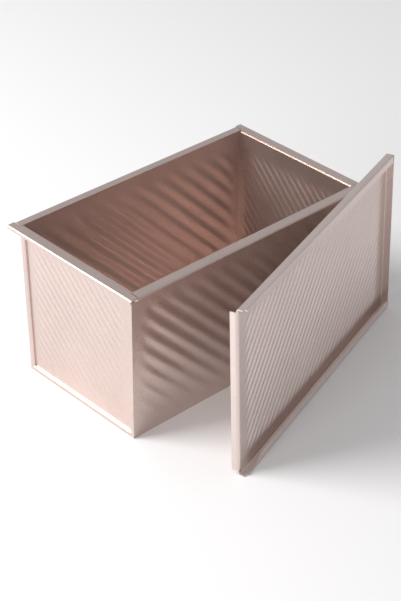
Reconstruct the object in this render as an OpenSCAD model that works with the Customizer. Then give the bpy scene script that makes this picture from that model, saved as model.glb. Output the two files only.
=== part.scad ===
// Pullman loaf pan with a corrugated body and a sliding lid.
// Millimetres. The origin is the middle of the base, on the table, with +X along the pan.

/* [Pan] */
// Length over the rolled rims
rim_length = 213; // [150:1:330]
// Width over the rolled rims
rim_width = 122; // [90:1:180]
// Height from the table to the top of the rim
pan_height = 114; // [80:1:160]
// Length of the base, outside
base_length = 197; // [140:0.5:320]
// Width of the base, outside
base_width = 106.5; // [80:0.5:170]
// Thickness of the pan's sheet
pan_sheet = 0.8; // [0.6:0.1:1.2]

/* [Rolled rim] */
// How far the rim stands out from the wall
rim_reach = 6; // [4.5:0.1:8]
// Height of the flattened roll
rim_depth = 3.2; // [3:0.1:4.5]
// Clearance between a rim wire and the roll round it
wire_fit = 0.02; // [0.01:0.01:0.1]
// Butt gap between two rims at a corner
corner_gap = 0.6; // [0.3:0.1:1.5]

/* [Folded end frame] */
// Width of the strip that folds over each end panel
frame_strip = 3.6; // [2.5:0.1:6]
// Layers of sheet in the strip
frame_layers = 2; // [1:1:3]
// Gap under the rolled rim, above the strip
frame_rim_gap = 0.5; // [0.2:0.1:2]

/* [Corrugation] */
// Height of a wave, crest to trough
wave_height = 0.9; // [0.4:0.1:1.2]
// Distance between two waves of a long wall
side_pitch = 10; // [8:0.5:20]
// Slope of a long wall's waves
side_slope = 45; // [20:1:60]
// Distance between two waves of an end panel
end_pitch = 5.6; // [4:0.2:12]
// Slope of an end panel's waves
end_slope = 45; // [30:1:75]
// Distance between two waves of the lid
lid_pitch = 5.8; // [4:0.2:12]
// Slope of the lid's waves
lid_slope = 45; // [30:1:75]
// Flat margin round each wavy field
flat_margin = 7; // [5:0.5:14]

/* [Lid] */
// Length of the lid
lid_length = 224; // [160:1:345]
// Thickness of the lid's sheet
lid_sheet = 0.8; // [0.6:0.1:1.2]
// Clearance between a rail and the side of the rim
rail_side_fit = 0.5; // [0.3:0.1:1.5]
// Clearance between a rail's lip and the underside of the rim
rail_lip_fit = 1.2; // [0.4:0.1:2.5]
// Width of a rail's lip, outside
lip_width = 6; // [4:0.1:8]
// Length of the slanted cut at a rail's open end
lip_cut = 23; // [8:1:40]
// Height of the turned-up grip at the open end
grip_height = 4.5; // [3:0.5:10]
// How much shorter the grip is than the lid, each side
grip_inset = 3; // [2:0.5:12]

/* [Lid place] */
// Where the lid is drawn
lid_place = "leaning"; // [leaning, on_rim]
// Turn of the leaning lid against the long wall
lean_turn = 18.4; // [5:0.2:35]
// Lean of the lid off the vertical
lean_tilt = 2; // [2:0.5:20]
// Gap between the leaning lid and the rim's corner
lean_gap = 0.3; // [0.2:0.1:2]
// How far the lid's far end lies past the rim's corner
lean_overrun = 33.5; // [5:0.5:80]

/* [Hidden] */
$fn = 48;
coat = [0.86, 0.76, 0.73];
steel = [0.72, 0.73, 0.75];
big = 3 * rim_length;
tiny = 0.01;
// Wall outlines at the table and at the rim, outside
top_length = rim_length - 2 * rim_reach;
top_width = rim_width - 2 * rim_reach;
// Lean of the walls
end_lean = atan((top_length - base_length) / 2 / pan_height);
side_lean = atan((top_width - base_width) / 2 / pan_height);
// Horizontal thickness of a leaning sheet
end_skin = pan_sheet / cos(end_lean);
side_skin = pan_sheet / cos(side_lean);
frame_thick = frame_layers * pan_sheet;
frame_skin = frame_thick / cos(end_lean);
// Rolled rim
roll_radius = rim_depth / 2;
wire_radius = roll_radius - pan_sheet - wire_fit;
hem_start = roll_radius + corner_gap;
side_rim_length = rim_length - 2 * (rim_reach + corner_gap);
// Lid section
lid_width = rim_width + 2 * (rail_side_fit + lid_sheet);
rail_depth = rim_depth + rail_lip_fit + 2 * lid_sheet;
corner_radius = 1.6;
// Waves
wave_steps = 6;
amplitude = wave_height / 2;

// Half the inside width of the pan at a height
function half_in(z) = base_width / 2 - side_skin + z * tan(side_lean);

// One wavy sheet: the section runs along X, the waves run along Y
module wavy_slab(span, run, pitch, thick) {
    count = ceil(span / pitch) + 1;
    top = [for (i = [0 : count * wave_steps])
        [(i / wave_steps - count / 2) * pitch, amplitude * sin(i * 360 / wave_steps)]];
    low = [for (i = [count * wave_steps : -1 : 0]) [top[i][0], top[i][1] - thick]];
    translate([0, run / 2, 0])
        rotate([90, 0, 0])
            linear_extrude(run)
                polygon(concat(top, low));
}

// A flat sheet lying in XY with a wavy field in its middle, outline given as points
module ribbed_sheet(outline, field, pitch, slope, thick, reach) {
    difference() {
        linear_extrude(thick) polygon(outline);
        translate([0, 0, -1]) linear_extrude(thick + 2) polygon(field);
    }
    intersection() {
        translate([0, 0, -thick]) linear_extrude(3 * thick) polygon(field);
        rotate([0, 0, slope])
            translate([0, 0, thick])
                wavy_slab(reach, reach, pitch, thick);
    }
}

// Section of a rolled rim, wall top at the left, growing to +X, top at Y = 0
module rim_section() {
    difference() {
        translate([rim_reach - roll_radius, -roll_radius]) circle(roll_radius);
        translate([rim_reach - roll_radius, -roll_radius]) circle(roll_radius - pan_sheet);
        translate([rim_reach - roll_radius - rim_depth, -rim_depth]) square([rim_depth, rim_depth]);
    }
    translate([-tiny, -pan_sheet]) square([rim_reach - roll_radius + tiny, pan_sheet]);
    translate([corner_gap, -rim_depth])
        square([rim_reach - roll_radius - corner_gap, pan_sheet]);
}

// A rolled rim along X, standing out to -Y from the wall at Y = 0
module rim_roll(run) {
    translate([run / 2, 0, 0])
        rotate([90, 0, -90])
            linear_extrude(run) rim_section();
}

// One long wall, outside face towards -Y
module long_wall() {
    slant = pan_height / cos(side_lean);
    bottom_half = base_length / 2;
    top_half = top_length / 2;
    top_z = slant - pan_sheet;
    field_low = flat_margin;
    field_high = slant - rim_depth - flat_margin;
    inset = frame_strip + flat_margin / 2;
    shift = (top_half - bottom_half) / slant;
    outline = [[-bottom_half, 0], [bottom_half, 0], [top_half, slant - tiny], [-top_half, slant - tiny]];
    field = [
        [-bottom_half - shift * field_low + inset, field_low],
        [bottom_half + shift * field_low - inset, field_low],
        [bottom_half + shift * field_high - inset, field_high],
        [-bottom_half - shift * field_high + inset, field_high]];
    translate([0, -base_width / 2, 0])
        rotate([90 + side_lean, 0, 0])
            translate([0, 0, -pan_sheet])
                ribbed_sheet(outline, field, side_pitch, side_slope, pan_sheet, top_length + slant);
}

// Solid between the inside faces of the long walls
module inside_prism(extra) {
    rotate([90, 0, 90])
        translate([0, 0, -big / 2])
            linear_extrude(big)
                polygon([
                    [-half_in(0) + extra, pan_sheet], [half_in(0) - extra, pan_sheet],
                    [half_in(pan_height) - extra, pan_height], [-half_in(pan_height) + extra, pan_height]]);
}

// The strip that folds over one end panel, on the -X end
module end_frame() {
    strip_top = pan_height - rim_depth - frame_rim_gap;
    rise = tan(end_lean);
    difference() {
        rotate([90, 0, 0])
            translate([0, 0, -big / 2])
                linear_extrude(big)
                    polygon([
                        [-base_length / 2, 0], [-base_length / 2 + frame_skin, 0],
                        [-base_length / 2 + frame_skin - strip_top * rise, strip_top],
                        [-base_length / 2 - strip_top * rise, strip_top]]);
        translate([0, 0, frame_strip - pan_sheet]) inside_prism(frame_strip - side_skin);
        side_waste();
        mirror([0, 1, 0]) side_waste();
    }
}

// Everything outside one long wall
module side_waste() {
    translate([0, -base_width / 2, 0])
        rotate([side_lean, 0, 0])
            translate([-big / 2, -big, -big / 2])
                cube([big, big, big]);
}

module body_sheet() {
    color(coat) {
        translate([-base_length / 2, -base_width / 2, 0]) cube([base_length, base_width, pan_sheet]);
        for (flip = [0, 1]) mirror([0, flip, 0]) {
            long_wall();
            translate([0, -top_width / 2, pan_height]) rim_roll(side_rim_length);
        }
        for (flip = [0, 1]) mirror([flip, 0, 0]) end_frame();
    }
}

// One end panel, on the -X end, with its own rolled rim
module end_panel() {
    slant = pan_height / cos(end_lean);
    low = pan_sheet / cos(end_lean);
    field_low = frame_strip + flat_margin;
    field_high = slant - rim_depth - flat_margin;
    side_in = frame_strip + flat_margin / 2;
    outline = [
        [-half_in(0), low], [half_in(0), low],
        [half_in(pan_height), slant], [-half_in(pan_height), slant]];
    field = [
        [-half_in(field_low) + side_in, field_low], [half_in(field_low) - side_in, field_low],
        [half_in(field_high) - side_in, field_high], [-half_in(field_high) + side_in, field_high]];
    translate([-base_length / 2 + frame_skin, 0, 0])
        rotate([0, -end_lean, 0])
            rotate([90, 0, -90])
                translate([0, 0, -pan_sheet])
                    ribbed_sheet(outline, field, end_pitch, end_slope, pan_sheet, top_width + slant);
    translate([-top_length / 2, 0, pan_height])
        rotate([0, 0, -90])
            rim_roll(rim_width);
    translate([-top_length / 2 - tiny, -half_in(pan_height), pan_height - pan_sheet])
        cube([frame_skin + tiny, 2 * half_in(pan_height), pan_sheet]);
}

module near_end_panel() {
    color(coat) end_panel();
}

module far_end_panel() {
    color(coat) mirror([1, 0, 0]) end_panel();
}

// The wire in a long rim
module side_wire() {
    translate([-side_rim_length / 2, -rim_width / 2 + roll_radius, pan_height - roll_radius])
        rotate([0, 90, 0])
            cylinder(r = wire_radius, h = side_rim_length);
}

// The wire in an end rim
module end_wire() {
    translate([-rim_length / 2 + roll_radius, rim_width / 2, pan_height - roll_radius])
        rotate([90, 0, 0])
            cylinder(r = wire_radius, h = rim_width);
}

module near_side_wire() {
    color(steel) side_wire();
}

module far_side_wire() {
    color(steel) mirror([0, 1, 0]) side_wire();
}

module near_end_wire() {
    color(steel) end_wire();
}

module far_end_wire() {
    color(steel) mirror([1, 0, 0]) end_wire();
}

// One rail of the lid, on its -Y side, with the outer face of the lid at Z = 0
module lid_rail() {
    half_l = lid_length / 2;
    half_w = lid_width / 2;
    translate([-half_l, -half_w, -rail_depth]) cube([lid_length, lid_sheet, rail_depth]);
    translate([0, -half_w, -rail_depth])
        linear_extrude(lid_sheet)
            polygon([
                [-half_l + lip_cut / 2, 0], [half_l, 0],
                [half_l, lip_width - corner_radius], [half_l - corner_radius, lip_width],
                [-half_l + lip_cut, lip_width]]);
}

// The lid in its own place: outer face at Z = 0, stop at +X, open end at -X
module lid_flat() {
    half_l = lid_length / 2;
    half_w = lid_width / 2;
    edge = lip_width + flat_margin / 3;
    outline = [[-half_l, -half_w], [half_l, -half_w], [half_l, half_w], [-half_l, half_w]];
    field = [
        [-half_l + flat_margin, -half_w + edge], [half_l - flat_margin, -half_w + edge],
        [half_l - flat_margin, half_w - edge], [-half_l + flat_margin, half_w - edge]];
    translate([0, 0, -lid_sheet])
        ribbed_sheet(outline, field, lid_pitch, lid_slope, lid_sheet, lid_length + lid_width);
    lid_rail();
    mirror([0, 1, 0]) lid_rail();
    translate([half_l - lid_sheet, -half_w, -rail_depth]) cube([lid_sheet, lid_width, rail_depth]);
    translate([-half_l, -half_w + grip_inset, -lid_sheet])
        cube([lid_sheet, lid_width - 2 * grip_inset, lid_sheet + grip_height]);
}

// The leaning place is worked out from the rim's corner that the lid leans on
module lean_in_place() {
    turn_x = sin(lean_turn) * cos(lean_tilt);
    turn_z = sin(lean_tilt);
    corner_x = rim_length / 2 - roll_radius;
    corner_z = pan_height - roll_radius;
    reach = roll_radius * sqrt(turn_x * turn_x + turn_z * turn_z);
    stand_off = (corner_z * sin(lean_tilt) + reach + lean_gap) / cos(lean_tilt);
    translate([corner_x, -rim_width / 2, 0])
        rotate([0, 0, lean_turn])
            translate([lean_overrun - lid_length / 2, -stand_off, 0])
                rotate([-90 - lean_tilt, 0, 0])
                    translate([0, -lid_width / 2, 0])
                        children();
}

module lid_panel() {
    color(coat) {
        if (lid_place == "leaning")
            lean_in_place() lid_flat();
        else
            translate([rim_length / 2 - lid_length / 2 + rail_side_fit + lid_sheet, 0, pan_height + lid_sheet + amplitude])
                lid_flat();
    }
}

body_sheet();
near_end_panel();
far_end_panel();
near_side_wire();
far_side_wire();
near_end_wire();
far_end_wire();
lid_panel();
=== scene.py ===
import math
import bmesh
import bpy
import numpy as np
from mathutils import Matrix, Vector


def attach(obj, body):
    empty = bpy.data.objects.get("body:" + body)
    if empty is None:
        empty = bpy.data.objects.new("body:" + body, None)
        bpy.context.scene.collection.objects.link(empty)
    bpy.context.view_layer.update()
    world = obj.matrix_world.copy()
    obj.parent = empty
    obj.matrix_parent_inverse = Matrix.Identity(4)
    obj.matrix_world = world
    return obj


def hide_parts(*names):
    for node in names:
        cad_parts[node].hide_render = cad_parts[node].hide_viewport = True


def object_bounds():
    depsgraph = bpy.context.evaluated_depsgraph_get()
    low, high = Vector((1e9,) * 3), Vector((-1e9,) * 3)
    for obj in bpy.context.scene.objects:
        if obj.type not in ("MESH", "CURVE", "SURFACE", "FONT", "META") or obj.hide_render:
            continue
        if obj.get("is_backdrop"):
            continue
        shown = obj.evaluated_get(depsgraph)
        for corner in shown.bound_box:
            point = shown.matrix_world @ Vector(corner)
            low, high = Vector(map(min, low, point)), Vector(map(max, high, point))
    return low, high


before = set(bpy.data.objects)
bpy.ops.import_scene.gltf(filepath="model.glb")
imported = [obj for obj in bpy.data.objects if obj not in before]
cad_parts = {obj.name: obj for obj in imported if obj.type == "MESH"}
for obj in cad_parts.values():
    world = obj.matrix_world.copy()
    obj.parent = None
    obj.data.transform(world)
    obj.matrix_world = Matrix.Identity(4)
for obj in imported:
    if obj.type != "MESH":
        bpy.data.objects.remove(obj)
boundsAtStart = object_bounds()
print("frame loaded")

mm = 0.001

pan = {"rimLength": 213, "rimWidth": 122, "height": 114, "baseLength": 197, "baseWidth": 106.5,
       "sheet": 0.8, "rimReach": 6, "rimDepth": 3.2, "cornerGap": 0.6, "strip": 3.6,
       "frameThick": 1.6, "rimGap": 0.5}
topLength = pan["rimLength"] - 2 * pan["rimReach"]
topWidth = pan["rimWidth"] - 2 * pan["rimReach"]


# a shell from two matching grids of points, edges closed
class Shell:
    def __init__(self):
        self.points = []
        self.faces = []

    def add(self, front, back):
        nu, nv = front.shape[:2]
        start = len(self.points)
        self.points += [tuple(p) for p in front.reshape(-1, 3)]
        self.points += [tuple(p) for p in back.reshape(-1, 3)]
        far = start + nu * nv
        at = lambda i, j: start + i * nv + j
        for i in range(nu - 1):
            for j in range(nv - 1):
                quad = (at(i, j), at(i + 1, j), at(i + 1, j + 1), at(i, j + 1))
                self.faces.append(quad)
                self.faces.append(tuple(q - start + far for q in reversed(quad)))
        edge = [at(i, 0) for i in range(nu)] + [at(nu - 1, j) for j in range(1, nv)]
        edge += [at(i, nv - 1) for i in range(nu - 2, -1, -1)] + [at(0, j) for j in range(nv - 2, 0, -1)]
        for a, b in zip(edge, edge[1:] + edge[:1]):
            self.faces.append((b, a, a - start + far, b - start + far))

    def sweep(self, section, start, end, across, up):
        a, b = np.array(start, float), np.array(end, float)
        across, up = np.array(across, float), np.array(up, float)
        first = len(self.points)
        for end in (a, b):
            self.points += [tuple(end + x * across + y * up) for x, y in section]
        n = len(section)
        for k in range(n):
            m = (k + 1) % n
            self.faces.append((first + k, first + m, first + n + m, first + n + k))
        self.faces.append(tuple(range(first + n - 1, first - 1, -1)))
        self.faces.append(tuple(range(first + n, first + 2 * n)))

    def piece(self, name, place=None):
        mesh = bpy.data.meshes.new(name)
        points = np.array(self.points) * mm
        mesh.from_pydata([tuple(p) for p in points], [], self.faces)
        if place:
            mesh.transform(place)
        bm = bmesh.new()
        bm.from_mesh(mesh)
        bmesh.ops.recalc_face_normals(bm, faces=bm.faces)
        bm.to_mesh(mesh)
        bm.free()
        mesh.shade_smooth()
        mesh.set_sharp_from_angle(angle=math.radians(38))
        piece = bpy.data.objects.new(name, mesh)
        bpy.context.scene.collection.objects.link(piece)
        return piece


def smooth(t):
    t = np.clip(t, 0, 1)
    return t * t * (3 - 2 * t)


# wave heights over a flat sheet, easing out towards its edges
def waves(x, y, pitch, slope, height, left, right, low, high, ease):
    turn = math.radians(slope)
    across = x * math.cos(turn) + y * math.sin(turn)
    fade = smooth((x - left) / ease) * smooth((right - x) / ease)
    fade = fade * smooth((y - low) / ease) * smooth((high - y) / ease)
    return height / 2 * np.sin(2 * math.pi * across / pitch) * fade


def rimSection(reach, depth, sheet, gap):
    r = depth / 2
    c = reach - r
    outer = [(c + r * math.cos(a), -r + r * math.sin(a)) for a in np.linspace(math.pi / 2, -math.pi / 2, 17)]
    inner = [(c + (r - sheet) * math.cos(a), -r + (r - sheet) * math.sin(a))
             for a in np.linspace(-math.pi / 2, math.pi / 2, 13)]
    return [(0, 0)] + outer + [(gap, -depth), (gap, -depth + sheet)] + inner + [(0, -sheet)]


# shader maths on a wrapped socket
class Sum:
    def __init__(self, tree, socket):
        self.tree = tree
        self.socket = socket

    def join(self, kind, other, swap=False):
        node = self.tree.nodes.new("ShaderNodeMath")
        node.operation = kind
        slots = (1, 0) if swap else (0, 1)
        self.tree.links.new(self.socket, node.inputs[slots[0]])
        if isinstance(other, Sum):
            self.tree.links.new(other.socket, node.inputs[slots[1]])
        else:
            node.inputs[slots[1]].default_value = other
        return Sum(self.tree, node.outputs[0])

    def __add__(self, other):
        return self.join("ADD", other)

    __radd__ = __add__

    def __sub__(self, other):
        return self.join("SUBTRACT", other)

    def __rsub__(self, other):
        return self.join("SUBTRACT", other, True)

    def __mul__(self, other):
        return self.join("MULTIPLY", other)

    __rmul__ = __mul__


def coatMaterial(name, colour, roughness, speckle):
    mat = bpy.data.materials.new(name)
    mat.use_nodes = True
    tree = mat.node_tree
    shader = tree.nodes["Principled BSDF"]
    place = tree.nodes.new("ShaderNodeTexCoord")

    def noise(scale, detail):
        node = tree.nodes.new("ShaderNodeTexNoise")
        node.inputs["Scale"].default_value = scale
        node.inputs["Detail"].default_value = detail
        tree.links.new(place.outputs["Object"], node.inputs["Vector"])
        return Sum(tree, node.outputs["Fac"])

    fine = noise(1500, 2)
    broad = noise(28, 3)
    rough = roughness + speckle * (fine - 0.5) + 0.08 * (broad - 0.5)
    tree.links.new(rough.socket, shader.inputs["Roughness"])
    mix = tree.nodes.new("ShaderNodeMix")
    mix.data_type = "RGBA"
    mix.inputs["A"].default_value = (*[c * 0.72 for c in colour], 1)
    mix.inputs["B"].default_value = (*[min(1, c * 1.22) for c in colour], 1)
    tree.links.new((0.7 * fine + 0.3 * broad).socket, mix.inputs["Factor"])
    tree.links.new(mix.outputs["Result"], shader.inputs["Base Color"])
    bump = tree.nodes.new("ShaderNodeBump")
    bump.inputs["Strength"].default_value = 0.12
    bump.inputs["Distance"].default_value = 0.0002
    tree.links.new(fine.socket, bump.inputs["Height"])
    tree.links.new(bump.outputs["Normal"], shader.inputs["Normal"])
    shader.inputs["Metallic"].default_value = 0.92
    return mat


coat = coatMaterial("coating", (0.68, 0.56, 0.515), 0.33, 0.3)
# the lid's coating is the pan's coating lightened by about a fifth: a painted-highlight copy that stands in for the
# brighter light on the lid, not a different coating
litLidCoat = coatMaterial("litLidCoating", (0.80, 0.68, 0.635), 0.34, 0.3)
wireSteel = coatMaterial("wireSteel", (0.52, 0.52, 0.53), 0.3, 0.1)
print("materials")

# long walls, base, side rims and end strips, one bent sheet
body = {"pitch": 10, "slope": 45, "wave": 0.95, "ease": 16, "margin": 6, "columns": 170, "rows": 96}
shell = Shell()
half, bottom, top = pan["baseWidth"] / 2, pan["baseLength"] / 2, topLength / 2
lean = math.atan((topWidth - pan["baseWidth"]) / 2 / pan["height"])
slant = pan["height"] / math.cos(lean)
for side in (-1, 1):
    u, v = np.meshgrid(np.linspace(-1, 1, body["columns"]), np.linspace(0, 1, body["rows"]), indexing="ij")
    y = v * slant
    x = u * (bottom + (top - bottom) * v)
    rise = waves(x, y, body["pitch"], body["slope"], body["wave"], -top + 5, top - 5, 4,
                 slant - pan["rimDepth"] - 4, body["ease"])
    out = np.array([0, side * math.cos(lean), -math.sin(lean)])
    foot = np.stack([x, side * (half + y * math.sin(lean)), y * math.cos(lean)], -1)
    shell.add(foot + out * (rise[..., None] * 0.98 - 0.001), foot + out * (rise[..., None] * 0.98 - pan["sheet"]))
    cut = top - pan["cornerGap"]
    section = rimSection(pan["rimReach"], pan["rimDepth"], pan["sheet"], pan["cornerGap"])
    shell.sweep(section, (-cut, side * topWidth / 2, pan["height"]), (cut, side * topWidth / 2, pan["height"]),
                (0, side, 0), (0, 0, 1))
shell.sweep([(-half, 0), (half, 0), (half, 0.8), (-half, 0.8)], (-bottom, 0, 0), (bottom, 0, 0), (0, 1, 0), (0, 0, 1))
stripTop = pan["height"] - pan["rimDepth"] - pan["rimGap"]
spread = (top - bottom) / pan["height"]
widen = (topWidth - pan["baseWidth"]) / 2 / pan["height"]
w, t, r = pan["strip"], pan["frameThick"], 0.7
for end in (-1, 1):
    up = np.array([spread * end, 0, 1])
    for side in (-1, 1):
        lift = up + np.array([0, side * widen, 0])
        section = [(0, r), (r, 0), (w - r, 0), (w, r), (w, t), (0, t)]
        shell.sweep(section, np.array([end * bottom, side * half, 0]),
                    np.array([end * bottom, side * half, 0]) + lift * stripTop, (0, -side, 0), (-end, 0, 0))
    section = [(0, r), (r, 0), (w - r, 0), (w, r), (w, t), (0, t)]
    shell.sweep(section, (end * bottom, -half + 3, 0), (end * bottom, half - 3, 0), (0, 0, 1), (-end, 0, 0))
panBody = shell.piece("panBody")
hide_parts("body_sheet")
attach(panBody, "pan")
panBody.data.materials.append(coat)
print("body")

# end panels with their rims
ends = {"pitch": 5.6, "slope": 45, "wave": 0.7, "ease": 13, "columns": 150, "rows": 150}
for end, node, name in ((-1, "near_end_panel", "nearEnd"), (1, "far_end_panel", "farEnd")):
    shell = Shell()
    lean = math.atan(spread)
    slant = pan["height"] / math.cos(lean)
    u, v = np.meshgrid(np.linspace(-1, 1, ends["columns"]), np.linspace(0, 1, ends["rows"]), indexing="ij")
    y = 0.9 + v * (slant - 1.8)
    wide = half - 0.82 + widen * y
    x = u * wide
    rise = waves(x, y, ends["pitch"], ends["slope"], ends["wave"], -half + 4, half - 4, 5,
                 slant - pan["rimDepth"] - 3, ends["ease"])
    out = np.array([end * math.cos(lean), 0, -math.sin(lean)])
    foot = np.stack([end * (bottom - t + y * math.sin(lean)), -x, y * math.cos(lean)], -1)
    shell.add(foot + out * rise[..., None], foot + out * (rise[..., None] - pan["sheet"]))
    section = rimSection(pan["rimReach"], pan["rimDepth"], pan["sheet"], pan["cornerGap"])
    shell.sweep(section, (end * top, -pan["rimWidth"] / 2, pan["height"]), (end * top, pan["rimWidth"] / 2, pan["height"]),
                (end, 0, 0), (0, 0, 1))
    shell.sweep([(0, 0), (-1.7, 0), (-1.7, -0.8), (0, -0.8)], (end * top, -half - 0.6, pan["height"]),
                (end * top, half + 0.6, pan["height"]), (end, 0, 0), (0, 0, 1))
    panel = shell.piece(name)
    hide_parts(node)
    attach(panel, "pan")
    panel.data.materials.append(coat)
print("end panels")

# lid, built flat with its outer face at z 0, then leaned on the rim's corner
lid = {"length": 224, "width": 124.6, "sheet": 0.8, "railDepth": 6, "lip": 6, "lipCut": 23, "pitch": 5.8,
       "slope": 45, "wave": 0.8, "ease": 9, "bend": 1.1, "gripHeight": 4.5, "gripInset": 3, "gripBend": 2}
hl, hw, st = lid["length"] / 2, lid["width"] / 2, lid["sheet"] / 2


def railLine(lip, count=4):
    bend, depth = lid["bend"], lid["railDepth"]
    line = []
    for a in np.linspace(0, 90, count + 3):
        line.append((hw - st - bend + bend * math.sin(math.radians(a)), -st - bend + bend * math.cos(math.radians(a))))
    for z in np.linspace(-st - bend, -depth + st + bend, 4)[1:-1]:
        line.append((hw - st, z))
    for a in np.linspace(0, 90, count + 3):
        line.append((hw - st - bend + bend * math.cos(math.radians(a)), -depth + st + bend - bend * math.sin(math.radians(a))))
    start = line[-1][0]
    reach = max(lip - st - bend, 0.05)
    for k in np.linspace(0, 1, 5)[1:]:
        line.append((start - reach * k, -depth + st))
    return line


def lipAt(x):
    free = lid["lip"] * np.clip((x + hl - lid["lipCut"] / 2) / (lid["lipCut"] / 2), 0, 1)
    away = hl - x
    if away < 2.5:
        free -= 2.5 - math.sqrt(max(0, 2.5 ** 2 - (2.5 - away) ** 2))
    return float(max(free, 0))


def lidRow(x, across):
    line = railLine(lipAt(x))
    left = [(-y, z) for y, z in reversed(line)]
    flat = [(y, -st) for y in across]
    return left[:-1] + flat + line[1:]


across = np.linspace(-(hw - st - lid["bend"]), hw - st - lid["bend"], 132)
xs = np.linspace(-hl + lid["gripBend"] + st, hl - lid["bend"] - st, 236)
rows = np.array([[(x, y, z) for y, z in lidRow(x, across)] for x in xs])
step = np.gradient(rows, axis=1)
out = np.stack([np.zeros_like(step[..., 0]), -step[..., 2], step[..., 1]], -1)
out /= np.linalg.norm(out, axis=-1, keepdims=True)
inField = np.abs(rows[..., 2] + st) < 1e-6
rise = waves(rows[..., 0], rows[..., 1], lid["pitch"], lid["slope"], lid["wave"], -hl + 7, hl - 7,
             -hw + 8.4, hw - 8.4, lid["ease"]) * inField
shell = Shell()
shell.add(rows + out * (st + rise[..., None]), rows + out * (rise[..., None] - st))


# a flange bent off one end of the lid
def flange(side, reach, bend, direction, inset):
    start = hl - bend - st
    line = [(start + bend * math.sin(a), -st + direction * (bend - bend * math.cos(a)))
            for a in np.linspace(0, math.pi / 2, 9)]
    line.append((hl - st, direction * reach if direction > 0 else -reach))
    ys = np.linspace(-hw + inset, hw - inset, 90)
    grid = np.array([[(side * px, y, pz) for px, pz in line] for y in ys])
    step = np.gradient(grid, axis=1)
    normal = np.stack([-step[..., 2], np.zeros_like(step[..., 0]), step[..., 0]], -1)
    normal /= np.linalg.norm(normal, axis=-1, keepdims=True)
    shell.add(grid + normal * st, grid - normal * st)


flange(1, lid["railDepth"], lid["bend"], -1, 0.7)
flange(-1, lid["gripHeight"], lid["gripBend"], 1, lid["gripInset"])
# the rails' corners beside the grip
endXs = np.linspace(-hl, -hl + lid["gripBend"] + st, 8)
for side in (-1, 1):
    corner = []
    for x in endXs:
        short = max(0, 1.6 - (x + hl))
        line = [(hw - lid["gripInset"] + 0.3, -st), (hw - 2.2, -st)] + railLine(0)[:11]
        line = [(y, max(z, -lid["railDepth"] + st + short)) for y, z in line]
        corner.append([(x, side * y, z) for y, z in line])
    grid = np.array(corner)
    normal = np.stack([np.zeros_like(grid[..., 0]), -np.gradient(grid[..., 2], axis=1), np.gradient(grid[..., 1], axis=1)], -1)
    normal /= np.maximum(np.linalg.norm(normal, axis=-1, keepdims=True), 1e-9)
    shell.add(grid + normal * st * side, grid - normal * st * side)

turn, tilt = math.radians(18.4), math.radians(2)
rimR = pan["rimDepth"] / 2
reach = rimR * math.hypot(math.sin(turn) * math.cos(tilt), math.sin(tilt))
standOff = ((pan["height"] - rimR) * math.sin(tilt) + reach + 0.3) / math.cos(tilt)
place = Matrix.Translation(Vector((pan["rimLength"] / 2 - rimR, -pan["rimWidth"] / 2, 0)) * mm)
place = place @ Matrix.Rotation(turn, 4, "Z") @ Matrix.Translation(Vector((33.5 - hl, -standOff, 0)) * mm)
place = place @ Matrix.Rotation(-math.pi / 2 - tilt, 4, "X") @ Matrix.Translation(Vector((0, -hw, 0)) * mm)
lidPiece = shell.piece("lid", place)
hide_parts("lid_panel")
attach(lidPiece, "lid")
lidPiece.data.materials.append(litLidCoat)
print("lid")

for node in ("near_side_wire", "far_side_wire", "near_end_wire", "far_end_wire"):
    wire = bpy.data.objects.get(node)
    if wire:
        wire.data.materials.clear()
        wire.data.materials.append(wireSteel)

# floor and light
floorMesh = bpy.data.meshes.new("floor")
floorMesh.from_pydata([(-6, -6, 0), (6, -6, 0), (6, 6, 0), (-6, 6, 0)], [], [(0, 1, 2, 3)])
floor = bpy.data.objects.new("floor", floorMesh)
bpy.context.scene.collection.objects.link(floor)
floorMat = bpy.data.materials.new("floor")
floorMat.use_nodes = True
floorMat.node_tree.nodes["Principled BSDF"].inputs["Base Color"].default_value = (0.86, 0.85, 0.85, 1)
floorMat.node_tree.nodes["Principled BSDF"].inputs["Roughness"].default_value = 0.6
floorMesh.materials.append(floorMat)
floor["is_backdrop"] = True

world = bpy.data.worlds.new("studio")
bpy.context.scene.world = world
world.use_nodes = True
world.node_tree.nodes["Background"].inputs["Color"].default_value = (0.98, 0.98, 1, 1)
world.node_tree.nodes["Background"].inputs["Strength"].default_value = 0.5


def softLight(name, where, size, power):
    data = bpy.data.lights.new(name, "AREA")
    data.shape = "SQUARE"
    data.size = size
    data.energy = power
    light = bpy.data.objects.new(name, data)
    light.location = where
    light.rotation_euler = (Vector((0, 0, 0.05)) - Vector(where)).to_track_quat("-Z", "Y").to_euler()
    bpy.context.scene.collection.objects.link(light)


softLight("key", (-1.05, 0.75, 1.15), 0.9, 30)
softLight("side", (-1.3, -0.35, 0.55), 0.5, 4)

# camera fitted to the photo
az, el, roll = math.radians(-43.49), math.radians(33.31), math.radians(0.71)
back = Vector((math.sin(az) * math.cos(el), -math.cos(az) * math.cos(el), math.sin(el)))
right = (-back).cross(Vector((0, 0, 1))).normalized()
upward = right.cross(-back)
rightTurned = right * math.cos(roll) + upward * math.sin(roll)
upTurned = upward * math.cos(roll) - right * math.sin(roll)
look = Matrix((rightTurned, upTurned, back)).transposed().to_4x4()
look.translation = Vector((-0.6831, -0.7308, 0.6955))
cameraData = bpy.data.cameras.new("camera")
cameraData.lens = 104.1
cameraData.clip_start = 0.01
camera = bpy.data.objects.new("camera", cameraData)
camera.matrix_world = look
bpy.context.scene.collection.objects.link(camera)
bpy.context.scene.camera = camera
bpy.context.scene.view_settings.view_transform = "Standard"

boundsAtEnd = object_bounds()


def asLists(value):
    if isinstance(value, dict):
        return {k: asLists(v) for k, v in value.items()}
    if isinstance(value, (list, tuple, Vector, np.ndarray)):
        return [asLists(v) for v in value]
    return float(value) if isinstance(value, (int, float, np.floating)) else str(value)


{"atStart": asLists(boundsAtStart), "atEnd": asLists(boundsAtEnd)}
print("ready")
